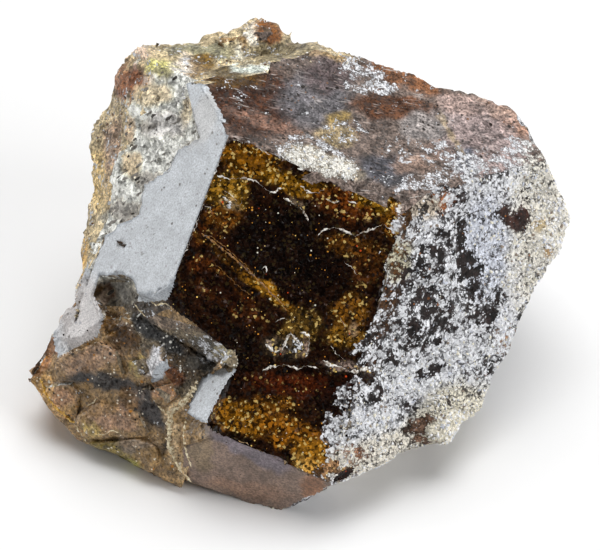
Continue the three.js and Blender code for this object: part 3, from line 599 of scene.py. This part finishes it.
def soften(stone):
    """Smooths the worn places."""
    activate(stone)
    x, y = picture(points_of(stone.data))
    seen = rows(stone.data.vertices, "normal") @ AWAY < 0.65
    bpy.context.tool_settings.mesh_select_mode = (True, False, False)
    for cx, cy, radius, times in SOFT:
        near = seen & (np.hypot(x - cx, y - cy) < radius)
        bpy.ops.object.mode_set(mode="EDIT")
        bpy.ops.mesh.select_all(action="DESELECT")
        bpy.ops.object.mode_set(mode="OBJECT")
        stone.data.vertices.foreach_set("select", near)
        bpy.ops.object.mode_set(mode="EDIT")
        bpy.ops.mesh.vertices_smooth(factor=0.5, repeat=times)
        bpy.ops.object.mode_set(mode="OBJECT")


def raise_crust(mesh, cover):
    """Lifts the clumps of crust out of the face."""
    corner = corners_of(mesh)
    level = np.full(len(mesh.vertices), 9.0)
    np.minimum.at(level, corner, cover)
    points = points_of(mesh)
    thick = np.clip((level - 0.42) / 0.4, 0, 1)
    height = thick * (0.03 + 0.2 * clouds(points, 0.7, 111, 2) ** 1.5) * MM
    points += rows(mesh.vertices, "normal") * height[:, None]
    move_points(mesh, points)


def set_attribute(mesh, name, kind, domain, values):
    attribute = mesh.attributes.new(name, kind, domain)
    if kind == "FLOAT":
        attribute.data.foreach_set("value", values.astype(np.float32))
    else:
        full = np.ones((len(values), 4), np.float32)
        full[:, :3] = values
        attribute.data.foreach_set("color", full.ravel())


def paint(stone, finish_index):
    """Stores the colour, the colour of the crust and its cover at each corner."""
    mesh = stone.data
    corner = corners_of(mesh)
    points = points_of(mesh)
    wobble_x = 16 * (clouds(points, 1.6, 11) - 0.5) + 8 * (clouds(points, 0.6, 12, 2) - 0.5)
    wobble_y = 16 * (clouds(points, 1.6, 21) - 0.5) + 8 * (clouds(points, 0.6, 22, 2) - 0.5)
    x, y = picture(points)
    x, y = x + wobble_x, y + wobble_y
    broad = clouds(points, 5, 31)
    clump = clouds(points, 1.8, 81, 2)
    crumb = clouds(points, 0.62, 85, 2)
    finish = np.repeat(finish_index, 3)
    tint = np.zeros((len(corner), 3))
    cover = np.zeros(len(corner))
    pale = np.tile(linear(PALE), (len(corner), 1))
    for n, name in enumerate(FINISHES):
        mine = np.nonzero(finish == n)[0]
        if not len(mine):
            continue
        v = corner[mine]
        colour = np.tile(linear(GROUND[name]), (len(mine), 1))
        if name == "broken_back":
            for seed, shade in ((41, (178, 164, 138)), (51, (92, 70, 50)), (61, (112, 102, 78))):
                w = np.clip((clouds(points, 6, seed)[v] - 0.52) / 0.08, 0, 1)[:, None]
                colour = colour * (1 - w) + linear(shade) * w
        for patch in PATCHES[name]:
            w = (patch[6] * patch_weight(x[v], y[v], patch))[:, None]
            colour = colour * (1 - w) + linear(patch[5]) * w
        tint[mine] = np.minimum(colour * np.array(GAIN[name]), 0.95)
        amount = COVER[name] + 0.3 * (broad[v] - 0.5)
        for patch in COVER_PATCHES.get(name, []):
            w = patch_weight(x[v], y[v], patch)
            amount = amount * (1 - w) + patch[5] * w
        cover[mine] = amount + 0.8 * (clump[v] - 0.5) + 0.5 * (crumb[v] - 0.5)
    for patch in PALE_PATCHES:
        w = (patch[6] * patch_weight(x[corner], y[corner], patch))[:, None]
        pale = pale * (1 - w) + linear(patch[5]) * w
    set_attribute(mesh, "tint", "FLOAT_COLOR", "CORNER", tint)
    set_attribute(mesh, "pale", "FLOAT_COLOR", "CORNER", pale)
    set_attribute(mesh, "cover", "FLOAT", "CORNER", cover)
    return cover


class Graph:
    """The nodes of one finish, on the piece's own coordinates."""

    def __init__(self, name):
        self.material = bpy.data.materials.new(name)
        self.material.use_nodes = True
        self.nodes = self.material.node_tree.nodes
        self.links = self.material.node_tree.links
        self.shader = self.nodes["Principled BSDF"]
        self.place = self.node("ShaderNodeTexCoord").outputs["Object"]

    def node(self, kind, inputs=None, **settings):
        made = self.nodes.new(kind)
        for key, value in settings.items():
            setattr(made, key, value)
        for key, value in (inputs or {}).items():
            self.put(made.inputs[key], value)
        return made

    def put(self, socket, value):
        if isinstance(value, bpy.types.NodeSocket):
            self.links.new(value, socket)
        else:
            socket.default_value = value

    def attribute(self, name, output="Color"):
        return self.node("ShaderNodeAttribute", attribute_name=name).outputs[output]

    def noise(self, size, detail=3.0, rough=0.6, place=None):
        made = self.node("ShaderNodeTexNoise", {
            "Vector": place or self.place, "Scale": 1 / (size * MM), "Detail": detail, "Roughness": rough,
        })
        return made.outputs["Fac"]

    def between(self, value, low, high, to_low=0.0, to_high=1.0):
        made = self.node("ShaderNodeMapRange", {
            "Value": value, "From Min": low, "From Max": high, "To Min": to_low, "To Max": to_high,
        })
        return made.outputs["Result"]

    def math(self, operation, a, b):
        return self.node("ShaderNodeMath", {0: a, 1: b}, operation=operation).outputs[0]

    def mix(self, amount, a, b):
        made = self.node("ShaderNodeMix", {0: amount, 6: a, 7: b}, data_type="RGBA")
        return made.outputs[2]

    def scale(self, colour, factor):
        made = self.node("ShaderNodeVectorMath", {0: colour, "Scale": factor}, operation="SCALE")
        return made.outputs[0]

    def cells(self, size, place=None):
        """A pattern of cells: the distance from the middle, then chances and the colour they come from."""
        made = self.node("ShaderNodeTexVoronoi", {"Vector": place or self.place, "Scale": 1 / (size * MM)})
        chance = self.node("ShaderNodeSeparateColor", {0: made.outputs["Color"]}).outputs
        return made.outputs["Distance"], chance, made.outputs["Color"]

    def vector(self, operation, a, b=None, **more):
        inputs = {0: a, **({} if b is None else {1: b}), **more}
        made = self.node("ShaderNodeVectorMath", inputs, operation=operation)
        return made.outputs["Value" if operation == "DOT_PRODUCT" else "Vector"]

    def drawn_out(self, along):
        """The place, pressed together along a direction, so that patterns are drawn out that way."""
        far = self.math("MULTIPLY", self.vector("DOT_PRODUCT", self.place, along), 0.65)
        return self.vector("SUBTRACT", self.place, self.vector("SCALE", along, Scale=far))

    def spots(self, size, share, width, place):
        """Small uneven spots in some of the cells of a pattern, close together in some places."""
        distance, chance, _ = self.cells(size, place)
        chosen = self.between(chance[0], 1 - share, 1 - share + 0.01)
        gather = self.between(self.noise(1.8, 2.0), 0.42, 0.6, 0.35, 1.25)
        reach = self.math("MULTIPLY", gather, self.between(chance[2], 0.0, 1.0, 0.5 * width, 1.3 * width))
        away = self.math("DIVIDE", distance, reach)
        return self.math("MULTIPLY", chosen, self.between(away, 0.75, 1.0, 1.0, 0.0))

    def bent(self, size, amount):
        """The place, shifted by a noise, so that straight borders bend."""
        bend = self.node("ShaderNodeTexNoise", {
            "Vector": self.place, "Scale": 1.4 / (size * MM), "Detail": 1.0,
        })
        shift = self.vector("SCALE", bend.outputs["Color"], Scale=size * MM * amount)
        return self.vector("ADD", self.place, shift)

    def flakes(self, size, low, high):
        """Angular patches of different brightness, with bent edges, and the way each one leans."""
        _, chance, lean = self.cells(size, self.bent(size, 0.8))
        return self.between(chance[1], 0.0, 1.0, low, high), lean

    def leaning(self, leans, amount):
        """The direction of the surface, turned a little another way in each flake."""
        normal = self.node("ShaderNodeNewGeometry").outputs["Normal"]
        for lean in leans:
            turned = self.vector("SUBTRACT", lean, (0.5, 0.5, 0.5))
            normal = self.vector("ADD", normal, self.vector("SCALE", turned, Scale=amount))
        return self.vector("NORMALIZE", normal)

    def grains(self, size, cover):
        """Rounded grains in as many cells of a pattern as the cover says, and how bright each one is."""
        distance, chance, _ = self.cells(size, self.bent(size, 0.9))
        there = self.between(self.math("SUBTRACT", cover, chance[0]), -0.02, 0.04)
        # Each grain fades into the colour below towards its rim, partly a painted shade of its round body.
        body = self.between(distance, 0.5, 0.72, 1.0, 0.0)
        return self.math("MULTIPLY", there, body), self.between(chance[1], 0.0, 1.0, 0.5, 1.16)


def rgb(colour):
    return (*linear(colour), 1.0)


def add_painted_glow(g, colour, tint, begin, full, bright):
    """Painted light in the glass: lit granules and glints, none where the tint's red is below the first level,
    full above the second.
    """
    red = g.node("ShaderNodeSeparateColor", {0: tint}).outputs[0]
    depth = g.math("MULTIPLY", red, g.between(g.noise(0.8, 4.0, 0.68), 0.35, 0.65, 0.0, 1.9))
    lit = g.between(depth, begin, full)
    colour = g.scale(colour, g.between(lit, 0.0, 1.0, 0.62, 0.5))
    granules = (
        (0.3, 0.7, 0.04, 0.85, g.scale(tint, bright * 0.95)),
        (0.22, 0.78, 0.04, 0.85, g.scale(tint, bright * 1.75)),
        (0.2, 0.9, 0.03, 0.8, rgb(PALE_GOLD_GLINT)),
    )
    for size, level, in_dark, in_light, shade in granules:
        spark, _ = g.flakes(size, 0.0, 1.0)
        amount = g.between(lit, 0.0, 1.0, in_dark, in_light)
        amount = g.math("MULTIPLY", g.between(spark, level, level + 0.02), amount)
        colour = g.mix(amount, colour, shade)
    return colour


def add_hairs(g, colour, hairs):
    """Fine lines: turn, stretch, level of the noise, colour and strength of each set."""
    for rotation, stretch, low, shade, amount in hairs:
        turned = g.node("ShaderNodeMapping", {
            "Vector": g.place, "Rotation": rotation, "Scale": stretch,
        }).outputs[0]
        hair = g.between(g.noise(0.4, 1.0, 0.5, turned), low, low + 0.05, 0.0, amount)
        here = g.between(g.noise(2.5), 0.42, 0.6)
        colour = g.mix(g.math("MULTIPLY", hair, here), colour, rgb(shade))
    return colour


def add_crust(g, colour, grain):
    """The pale crust, a thin haze and three sizes of grains, and where its grains are."""
    clumps = g.between(g.noise(0.75, 2.0, 0.6), 0.32, 0.68, -0.34, 0.34)
    cover = g.math("ADD", g.attribute("cover", "Fac"), clumps)
    pale = g.attribute("pale")
    colour = g.mix(g.between(cover, 0.1, 0.9, 0.0, 0.62), colour, g.scale(pale, 0.4))
    crust = 0.0
    for size in (grain, grain * 0.64, grain * 0.4):
        body, tone = g.grains(size, cover)
        colour = g.mix(body, colour, g.scale(pale, tone))
        crust = g.math("MAXIMUM", crust, body)
    return colour, crust


def mineral(
    name, patch, flake, grit, rough, relief, lean, spots=(), hairs=(),
    ior=1.45, gloss=0.5, painted_glow=None, along=None, grain=0.4,
):
    """One finish. Patches, flakes and grit each have a size in millimetres, a darkest and a brightest factor.

    The flakes lean out of the surface by the amount given. Spots have a size, a share of the places, a width
    and a colour, and are drawn out along a direction if there is one. The grain is that of the pale crust.
    """
    g = Graph(name)
    tint = g.attribute("tint")
    broad = g.noise(patch[0], 3.0, 0.6)
    fine = g.noise(grit[0], 1.5, 0.6)
    large, lean_large = g.flakes(*flake)
    small, lean_small = g.flakes(flake[0] * 0.42, flake[1], flake[2])
    facet = g.math("MULTIPLY", large, small)
    lift = g.math("MULTIPLY", g.between(broad, 0.38, 0.62, patch[1], patch[2]), facet)
    colour = g.scale(g.scale(tint, lift), g.between(fine, 0.34, 0.66, grit[1], grit[2]))
    # Painted light: lit granules and glints in the glass.
    if painted_glow:
        colour = add_painted_glow(g, colour, tint, *painted_glow)
    colour = add_hairs(g, colour, hairs)
    spread = g.drawn_out(along) if along else g.place
    for size, share, width, shade in spots:
        colour = g.mix(g.spots(size, share, width, spread), colour, rgb(shade))
    colour, crust = add_crust(g, colour, grain)
    g.put(g.shader.inputs["Base Color"], colour)
    sheen = g.between(fine, 0.3, 0.7, *rough)
    g.put(g.shader.inputs["Roughness"], g.math("MAXIMUM", sheen, g.math("MULTIPLY", crust, 0.6)))
    g.shader.inputs["IOR"].default_value = ior
    g.shader.inputs["Specular IOR Level"].default_value = gloss
    height = g.math("ADD", g.math("MULTIPLY", fine, relief), g.math("MULTIPLY", facet, relief * 0.5))
    height = g.math("ADD", height, g.math("MULTIPLY", crust, 0.1))
    bump = g.node("ShaderNodeBump", {"Height": height, "Distance": MM, "Strength": 1.0})
    if lean:
        g.put(bump.inputs["Normal"], g.leaning((lean_large, lean_small), lean))
    g.put(g.shader.inputs["Normal"], bump.outputs["Normal"])
    return g.material


# Colours of painted glints in the amber glass.
GOLD_GLINT = (244, 208, 116)
PALE_GOLD_GLINT = (214, 184, 112)
EMBER_GLINT = (198, 72, 28)
WHITE = (244, 242, 238)
PALE_GREY = (190, 186, 182)
GREY_SPECK = (84, 82, 80)
DARK_SPECK = (34, 27, 22)


def finishes():
    return {
        "amber_glass": mineral(
            "amber_glass", (1.1, 0.5, 1.3), (0.42, 0.3, 1.5), (0.2, 0.75, 1.25), (0.08, 0.2), 0.02, 0.4,
            [
                # Painted glints: the gold, ember and pale spots.
                (0.24, 0.10, 0.26, (206, 142, 52)), (0.28, 0.06, 0.24, GOLD_GLINT), (0.3, 0.025, 0.24, EMBER_GLINT),
                (0.34, 0.06, 0.2, (226, 222, 206)),
            ],
            # The glow is painted light: lit granules in the glass.
            gloss=0.12, painted_glow=(0.045, 0.1, 1.15),
        ),
        "mirror_face": mineral(
            "mirror_face", (1.6, 0.86, 1.1), (1.2, 0.96, 1.03), (0.14, 0.72, 1.26), (0.14, 0.26), 0.0, 0.0,
            [
                (0.42, 0.3, 0.3, (136, 136, 140)), (0.42, 0.12, 0.26, GREY_SPECK),
                (0.7, 0.16, 0.17, DARK_SPECK),
            ],
            [((0.4, 0.3, 0.9), (0.12, 2.0, 1.0), 0.66, GREY_SPECK, 0.7)], ior=1.55,
        ),
        "etched_face": mineral(
            "etched_face", (0.9, 0.8, 1.15), (0.5, 0.66, 1.22), (0.2, 0.8, 1.18), (0.3, 0.6), 0.12, 0.9,
            [
                (0.45, 0.34, 0.42, (126, 121, 113)), (0.4, 0.1, 0.4, (214, 198, 160)),
                # The darkest spots are painted shade in small pits.
                (0.4, 0.26, 0.38, (56, 50, 43)),
            ],
            along=(0.694, 0.015, 0.721),
        ),
        "hazy_top": mineral(
            "hazy_top", (0.9, 0.55, 1.35), (0.5, 0.65, 1.3), (0.2, 0.45, 1.5), (0.22, 0.45), 0.05, 0.35,
            # The white and brown-amber spots are painted glints; the dark ones are specks.
            [(0.3, 0.07, 0.28, WHITE), (0.3, 0.12, 0.3, (124, 84, 52)), (0.4, 0.2, 0.34, DARK_SPECK)],
            [
                ((0.25, 0.2, -0.35), (0.1, 2.2, 1.0), 0.66, (226, 216, 210), 0.45),
                ((0.2, 0.1, 0.5), (0.12, 2.2, 1.0), 0.67, (206, 186, 176), 0.4),
                ((0.25, 0.2, -1.1), (0.15, 2.0, 1.0), 0.64, (50, 30, 20), 0.6),
            ],
            gloss=0.22, grain=0.26,
        ),
        "crusted_side": mineral(
            "crusted_side", (1.2, 0.4, 1.3), (0.4, 0.5, 1.4), (0.2, 0.5, 1.5), (0.3, 0.6), 0.05, 0.5,
            [(0.4, 0.1, 0.3, (150, 92, 44)), (0.2, 0.22, 0.34, (178, 182, 192))], gloss=0.2,
        ),
        "tan_rind": mineral(
            "tan_rind", (1.2, 0.6, 1.25), (0.45, 0.65, 1.3), (0.2, 0.5, 1.45), (0.35, 0.6), 0.08, 0.7,
            [(0.4, 0.14, 0.32, (92, 60, 30)), (0.35, 0.12, 0.3, WHITE)],
        ),
        "broken_back": mineral(
            "broken_back", (2.0, 0.55, 1.25), (0.8, 0.7, 1.3), (0.3, 0.6, 1.3), (0.45, 0.8), 0.06, 0.5,
        ),
        "spur_brown": mineral(
            "spur_brown", (1.0, 0.7, 1.2), (0.5, 0.7, 1.25), (0.22, 0.55, 1.45), (0.2, 0.45), 0.04, 0.45,
            [
                # The pale spots are painted glints.
                (0.26, 0.16, 0.34, (232, 222, 202)), (0.4, 0.22, 0.34, DARK_SPECK),
                (0.5, 0.08, 0.28, (186, 122, 34)),
            ],
        ),
        "foot_bevel": mineral(
            "foot_bevel", (1.8, 0.8, 1.2), (0.7, 0.88, 1.12), (0.18, 0.65, 1.35), (0.3, 0.45), 0.02, 0.12,
            [(0.4, 0.1, 0.22, PALE_GREY), (0.4, 0.12, 0.26, (70, 46, 26))],
        ),
        "groove_grey": mineral(
            "groove_grey", (1.2, 0.65, 1.25), (0.4, 0.65, 1.3), (0.2, 0.5, 1.5), (0.25, 0.5), 0.05, 0.6,
            # The pale spots are painted glints.
            [(0.28, 0.22, 0.32, (226, 224, 214)), (0.4, 0.2, 0.34, DARK_SPECK)],
        ),
    }


def make_stone():
    activate(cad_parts["cassiterite"])
    bpy.ops.object.duplicate()
    stone = bpy.context.view_layer.objects.active
    stone.name = "stone"
    stone.data.name = "stone"
    stone.data.materials.clear()
    cut_finely(stone)
    mesh = stone.data
    face_index = face_of_each(mesh)
    values = list(FACES.values())
    corner = corners_of(mesh)
    for column, name in ((4, "lumps"), (5, "grit")):
        each = np.array([face[column] for face in values])[face_index]
        weight = np.full(len(mesh.vertices), 9.0)
        np.minimum.at(weight, corner, np.repeat(each, 3))
        weigh(stone, name, weight)
    displace(stone, "lumps", *LUMPS)
    displace(stone, "grit", *GRIT)
    wear(mesh)
    soften(stone)
    finish_index = finish_of_each(mesh, face_index)
    cover = paint(stone, finish_index)
    raise_crust(mesh, cover)
    made = finishes()
    for name in FINISHES:
        mesh.materials.append(made[name])
    mesh.polygons.foreach_set("material_index", finish_index)
    activate(stone)
    bpy.ops.object.shade_smooth_by_angle(angle=SMOOTH_BELOW)
    return stone, cover


# Colours of the grains, each with its share.
GRAIN_SHADES = [(246, 246, 248), (242, 236, 218), (212, 216, 228), (252, 252, 250), (150, 136, 120)]
GRAIN_SHARES = [0.36, 0.24, 0.16, 0.18, 0.06]


def make_grains(stone, cover, count):
    """Small pale grains that stand out of the crust, thicker where its cover is thicker."""
    rng = np.random.default_rng(5)
    mesh = stone.data
    points = points_of(mesh)
    index = corners_of(mesh).reshape(-1, 3)
    a, b, c = points[index[:, 0]], points[index[:, 1]], points[index[:, 2]]
    cross = np.cross(b - a, c - a)
    area = np.linalg.norm(cross, axis=1)
    normal = cross / np.maximum(area, 1e-15)[:, None]
    amount = cover.reshape(-1, 3).mean(axis=1)
    chance = area * np.clip(amount - 0.3, 0, 1) ** 1.2
    chosen = rng.choice(len(index), count, p=chance / chance.sum())
    u, v = rng.random(count), rng.random(count)
    flip = u + v > 1
    u[flip], v[flip] = 1 - u[flip], 1 - v[flip]
    middle = a[chosen] + (b - a)[chosen] * u[:, None] + (c - a)[chosen] * v[:, None]
    bpy.ops.mesh.primitive_ico_sphere_add(subdivisions=1, radius=1)
    seed = bpy.context.view_layer.objects.active
    ball = points_of(seed.data)
    triangles = corners_of(seed.data).reshape(-1, 3)
    bpy.ops.object.delete()
    size = MM * (0.05 + 0.17 * rng.random(count) ** 3) * (0.5 + 0.5 * np.clip(amount[chosen], 0, 1))
    shape = 1 + 0.7 * (rng.random((count, len(ball))) - 0.5)
    turn = np.linalg.qr(rng.normal(size=(count, 3, 3)))[0]
    flat = np.einsum("nij,vj->nvi", turn, ball * np.array([1.0, 0.8, 0.6]))
    body = middle[:, None] + flat * (shape * size[:, None])[:, :, None]
    body = body + normal[chosen][:, None] * size[:, None, None] * 0.15
    faces = (triangles[None] + len(ball) * np.arange(count)[:, None, None]).reshape(-1, 3)
    grains_mesh = bpy.data.meshes.new("grains")
    grains_mesh.from_pydata(body.reshape(-1, 3).tolist(), [], faces.tolist())
    pick = rng.choice(len(GRAIN_SHADES), count, p=GRAIN_SHARES)
    tint = np.repeat(linear(GRAIN_SHADES)[pick], 3 * len(triangles), axis=0)
    set_attribute(grains_mesh, "tint", "FLOAT_COLOR", "CORNER", tint)
    grains = bpy.data.objects.new("crust_grains", grains_mesh)
    bpy.context.collection.objects.link(grains)
    g = Graph("crust_grain")
    mottle = g.between(g.noise(0.12, 2.0), 0.3, 0.7, 0.72, 1.05)
    g.put(g.shader.inputs["Base Color"], g.scale(g.attribute("tint"), mottle))
    g.shader.inputs["Roughness"].default_value = 0.55
    grains_mesh.materials.append(g.material)
    return grains


# Finish of each kind of thin line: its name, and its darkest and palest colour.
LINE_FINISHES = {
    # chip: pale, partly real chipped edges and partly painted highlights where light catches them.
    "chip": ("chip_edge_glint", (96, 74, 50), (236, 232, 224)),
    "cream": ("cream_vein", (150, 122, 76), (250, 238, 204)),
    "ochre": ("ochre_vein", (150, 100, 30), (236, 194, 96)),
    "hair": ("hair_mark", (40, 34, 28), (110, 104, 98)),
    "gold": ("gold_streak", (60, 34, 8), (150, 102, 34)),
    # pit: painted shade, a dark ridge where the pit sinks into the mirror face.
    "pit": ("painted_pit_shade", (14, 9, 5), (64, 46, 26)),
}


def line_finish(name, dark, light):
    g = Graph(name)
    blend = g.between(g.noise(0.25, 3.0), 0.36, 0.6)
    g.put(g.shader.inputs["Base Color"], g.mix(blend, rgb(dark), rgb(light)))
    g.shader.inputs["Roughness"].default_value = 0.35
    return g.material


def steps_along(line):
    """Places that are close together along a line of the picture."""
    path = []
    for (x0, y0), (x1, y1) in zip(line, line[1:]):
        steps = max(2, round(math.hypot(x1 - x0, y1 - y0) / LINE_STEP))
        path += [(x0 + (x1 - x0) * n / steps, y0 + (y1 - y0) * n / steps) for n in range(steps)]
    return np.array(path + [line[-1]], float)


def onto_stone(tree, path):
    """Where the stone is seen at each place of the picture, and the direction of its surface there."""
    eye = HEART - AWAY * VIEW_DISTANCE
    found = []
    for x, y in path:
        through = (RIGHT * (x - MIDDLE_X) + UP * (MIDDLE_Y - y)) / PIXELS_PER_MM * MM
        place, normal, _, _ = tree.ray_cast(Vector(eye), Vector(HEART + through - eye).normalized())
        if place:
            found.append((np.array(place), np.array(normal)))
    return found


def ridge(found, widths, first):
    """Points and faces of a thin three-sided ridge with tapered ends, its points numbered from the first."""
    points, faces = [], []
    last = len(found) - 1
    for n, (place, normal) in enumerate(found):
        side = np.cross(normal, found[min(n + 1, last)][0] - found[max(n - 1, 0)][0])
        side /= max(np.linalg.norm(side), 1e-12)
        half = 0.5 * MM * widths[n] * min(1, 0.2 + min(n, last - n) / 3)
        sunk = place - normal * 0.05 * MM
        points += [sunk - side * half, place + normal * half * 0.45, sunk + side * half * 1.3]
        if n:
            a, b = first + 3 * (n - 1), first + 3 * n
            faces += [(a, a + 1, b + 1, b), (a + 1, a + 2, b + 2, b + 1), (a + 2, a, b, b + 2)]
    tail = first + 3 * last
    faces += [(first, first + 2, first + 1), (tail, tail + 1, tail + 2)]
    return points, faces


def lay_lines(stone):
    """Chipped edges partly painted as highlights, a pit painted as shade, veins, streaks and hair marks: thin
    broken ridges that follow the surface.
    """
    rng = np.random.default_rng(9)
    mesh = stone.data
    tree = BVHTree.FromPolygons([v.co for v in mesh.vertices], [p.vertices[:] for p in mesh.polygons])
    points, faces, kinds = [], [], []
    for kind, width, line in LINES:
        path = steps_along(line)
        jitter = 0.2 if kind == "cream" else 0.45
        drift = np.cumsum(rng.normal(0, 0.35, path.shape), axis=0) * 0.5
        drift += rng.normal(0, jitter, path.shape)
        lumpy = 0.5 + 0.9 * rng.random(len(path))
        if kind == "chip":
            lumpy *= np.clip(0.9 * np.sin(np.cumsum(rng.random(len(path)) * 0.7)) + 0.8, 0.35, 1.3)
        more_points, more_faces = ridge(onto_stone(tree, path + drift), width * lumpy, len(points))
        points += more_points
        faces += more_faces
        kinds += [list(LINE_FINISHES).index(kind)] * len(more_faces)
    made = bpy.data.meshes.new("fine_lines")
    made.from_pydata([tuple(p) for p in points], [], faces)
    lines = bpy.data.objects.new("fine_lines", made)
    bpy.context.collection.objects.link(lines)
    for finish in LINE_FINISHES.values():
        made.materials.append(line_finish(*finish))
    made.polygons.foreach_set("material_index", np.array(kinds, np.int32))
    return lines


def make_floor():
    bpy.ops.mesh.primitive_plane_add(size=6, location=(0, 0, 0))
    floor = bpy.context.view_layer.objects.active
    floor.name = "floor"
    g = Graph("pale_floor")
    shade = g.between(g.noise(400, 2.0), 0.3, 0.7, 0.86, 0.88)
    grey = g.node("ShaderNodeCombineColor", {0: shade, 1: shade, 2: shade}).outputs[0]
    g.put(g.shader.inputs["Base Color"], grey)
    g.shader.inputs["Roughness"].default_value = 0.9
    floor.data.materials.append(g.material)


def make_light(name, toward, distance, size, radiance):
    """A square softbox that faces the stone, given by its brightness."""
    place = Vector(toward).normalized() * distance + Vector(HEART)
    bpy.ops.object.light_add(type="AREA", location=place)
    light = bpy.context.view_layer.objects.active
    light.name = name
    light.data.shape = "SQUARE"
    light.data.size = size
    light.data.energy = radiance * math.pi * size * size
    light.rotation_euler = (Vector(HEART) - place).to_track_quat("-Z", "Y").to_euler()


def make_studio():
    scene = bpy.context.scene
    world = bpy.data.worlds.new("studio")
    scene.world = world
    world.use_nodes = True
    world.node_tree.nodes["Background"].inputs["Color"].default_value = (0.07, 0.07, 0.072, 1)
    make_light("left_softbox", (-0.96, 0.135, 0.23), 0.9, 0.5, 4.0)
    make_light("top_softbox", (0.05, 0.35, 1.0), 1.2, 1.1, 4.2)
    make_light("back_softbox", (0.45, 0.75, 0.5), 1.2, 0.6, 1.0)
    make_light("right_softbox", (0.85, -0.45, 0.4), 1.1, 0.6, 6.8)
    eye = Vector(HEART) - Vector(AWAY) * VIEW_DISTANCE
    bpy.ops.object.camera_add(location=eye, rotation=(math.radians(45), 0, 0))
    camera = bpy.context.view_layer.objects.active
    camera.data.sensor_width = SENSOR_WIDTH
    camera.data.lens = SENSOR_WIDTH * VIEW_DISTANCE / (PICTURE_WIDTH / PIXELS_PER_MM * MM)
    camera.data.clip_start = 0.01
    scene.camera = camera
    scene.view_settings.view_transform = "Standard"


stone, cover = make_stone()
grains = make_grains(stone, cover, GRAIN_COUNT)
lines = lay_lines(stone)
for piece in (stone, grains, lines):
    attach(piece, "root")
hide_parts("cassiterite")
make_floor()
make_studio()
